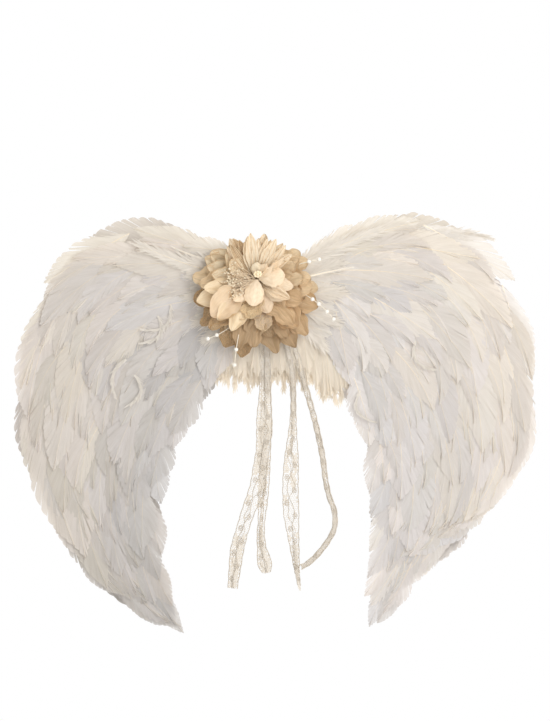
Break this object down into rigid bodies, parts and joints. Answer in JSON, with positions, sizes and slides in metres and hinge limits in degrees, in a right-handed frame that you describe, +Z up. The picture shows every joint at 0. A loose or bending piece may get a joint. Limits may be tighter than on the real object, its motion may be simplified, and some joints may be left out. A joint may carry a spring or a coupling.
{
  "type": "fairy wings",
  "caption": "Feathered costume wings on two folding wire frames, with a layered fabric flower, pearl sprays and hanging lace ties on a felt back pad.",
  "frame": {"origin": "on the rear face of the back pad, where it lies against the wearer's back, on the wings' middle line and 5 mm above the pad's middle", "axes": "+Z up as worn, -Y out from the wearer's back towards the decorated side, +X along the span towards the wearer's right wing"},
  "size_m": [0.3368, 0.0559, 0.2635],
  "materials": {
    "cover_feather": "soft natural ivory feather with fine barbs",
    "lining_feather": "soft cream feather with fine barbs",
    "plume_feather": "white quilled plume",
    "down": "fluffy cream marabou down",
    "board": "matt card",
    "felt": "matt white wool felt",
    "pad_felt": "stitched white wool felt",
    "casing_cotton": "white cotton twill tape",
    "wire": "bare galvanised wire, satin",
    "lace": "ivory cotton lace ribbon",
    "stem_wire": "cream thread-wrapped beading wire",
    "pearl": "pearl lacquer, glossy",
    "flower_felt": "beige felt",
    "flower_centre": "cream satin bud",
    "petal_linen": "champagne linen and burlap, frayed edge",
    "petal_lace": "embroidered tulle lace, champagne",
    "petal_chiffon": "champagne chiffon",
    "petal_satin": "cream satin"
  },
  "bodies": {
    "back": {"back_pad": "pad_felt", "centre_board": "board", "centre_down": "down", "accent_plumes": "plume_feather", "flower_base_felt": "flower_felt", "flower_core": "flower_centre", "flower_bud": "flower_centre", "flower_outer_petals": "petal_linen", "flower_lace_petals": "petal_lace", "flower_chiffon_petals": "petal_chiffon", "flower_satin_petals": "petal_satin", "flower_inner_petals": "petal_satin", "flower_heart_petals": "petal_satin", "pearl_stems": "stem_wire", "pearls": "pearl", "left_hinge_casing": "casing_cotton", "right_hinge_casing": "casing_cotton", "left_tie_tops": "lace", "right_tie_tops": "lace"},
    "left_wing": {"left_wing_board": "board", "left_wing_lining": "felt", "left_wire_frame": "wire", "left_wire_tabs": "felt", "left_front_feathers_1": "cover_feather", "left_front_feathers_2": "cover_feather", "left_front_feathers_3": "cover_feather", "left_front_feathers_4": "cover_feather", "left_front_feathers_5": "cover_feather", "left_front_feathers_6": "cover_feather", "left_front_feathers_7": "cover_feather", "left_front_feathers_8": "cover_feather", "left_front_feathers_9": "cover_feather", "left_front_feathers_10": "cover_feather", "left_rear_feathers_1": "lining_feather", "left_rear_feathers_2": "lining_feather", "left_rear_feathers_3": "lining_feather", "left_rear_feathers_4": "lining_feather"},
    "right_wing": {"right_wing_board": "board", "right_wing_lining": "felt", "right_wire_frame": "wire", "right_wire_tabs": "felt", "right_front_feathers_1": "cover_feather", "right_front_feathers_2": "cover_feather", "right_front_feathers_3": "cover_feather", "right_front_feathers_4": "cover_feather", "right_front_feathers_5": "cover_feather", "right_front_feathers_6": "cover_feather", "right_front_feathers_7": "cover_feather", "right_front_feathers_8": "cover_feather", "right_front_feathers_9": "cover_feather", "right_front_feathers_10": "cover_feather", "right_rear_feathers_1": "lining_feather", "right_rear_feathers_2": "lining_feather", "right_rear_feathers_3": "lining_feather", "right_rear_feathers_4": "lining_feather"},
    "left_ties": {"left_front_tie": "lace", "left_rear_tie": "lace"},
    "right_ties": {"right_front_tie": "lace", "right_rear_tie": "lace"}
  },
  "joints": [
    {"name": "left_wing_fold", "type": "hinge", "parent": "back", "child": "left_wing", "pos_m": [-0.022, -0.0052, -0.0075], "axis": [0, 0, -1], "range_deg": [0, 80]},
    {"name": "right_wing_fold", "type": "hinge", "parent": "back", "child": "right_wing", "pos_m": [0.022, -0.0052, -0.0025], "axis": [0, 0, 1], "range_deg": [0, 80]},
    {"name": "left_ties_swing", "type": "hinge", "parent": "back", "child": "left_ties", "pos_m": [-0.008, -0.0178, -0.04], "axis": [-1, 0, 0], "range_deg": [0, 70]},
    {"name": "right_ties_swing", "type": "hinge", "parent": "back", "child": "right_ties", "pos_m": [0.01, -0.0178, -0.04], "axis": [-1, 0, 0], "range_deg": [0, 70]}
  ]
}
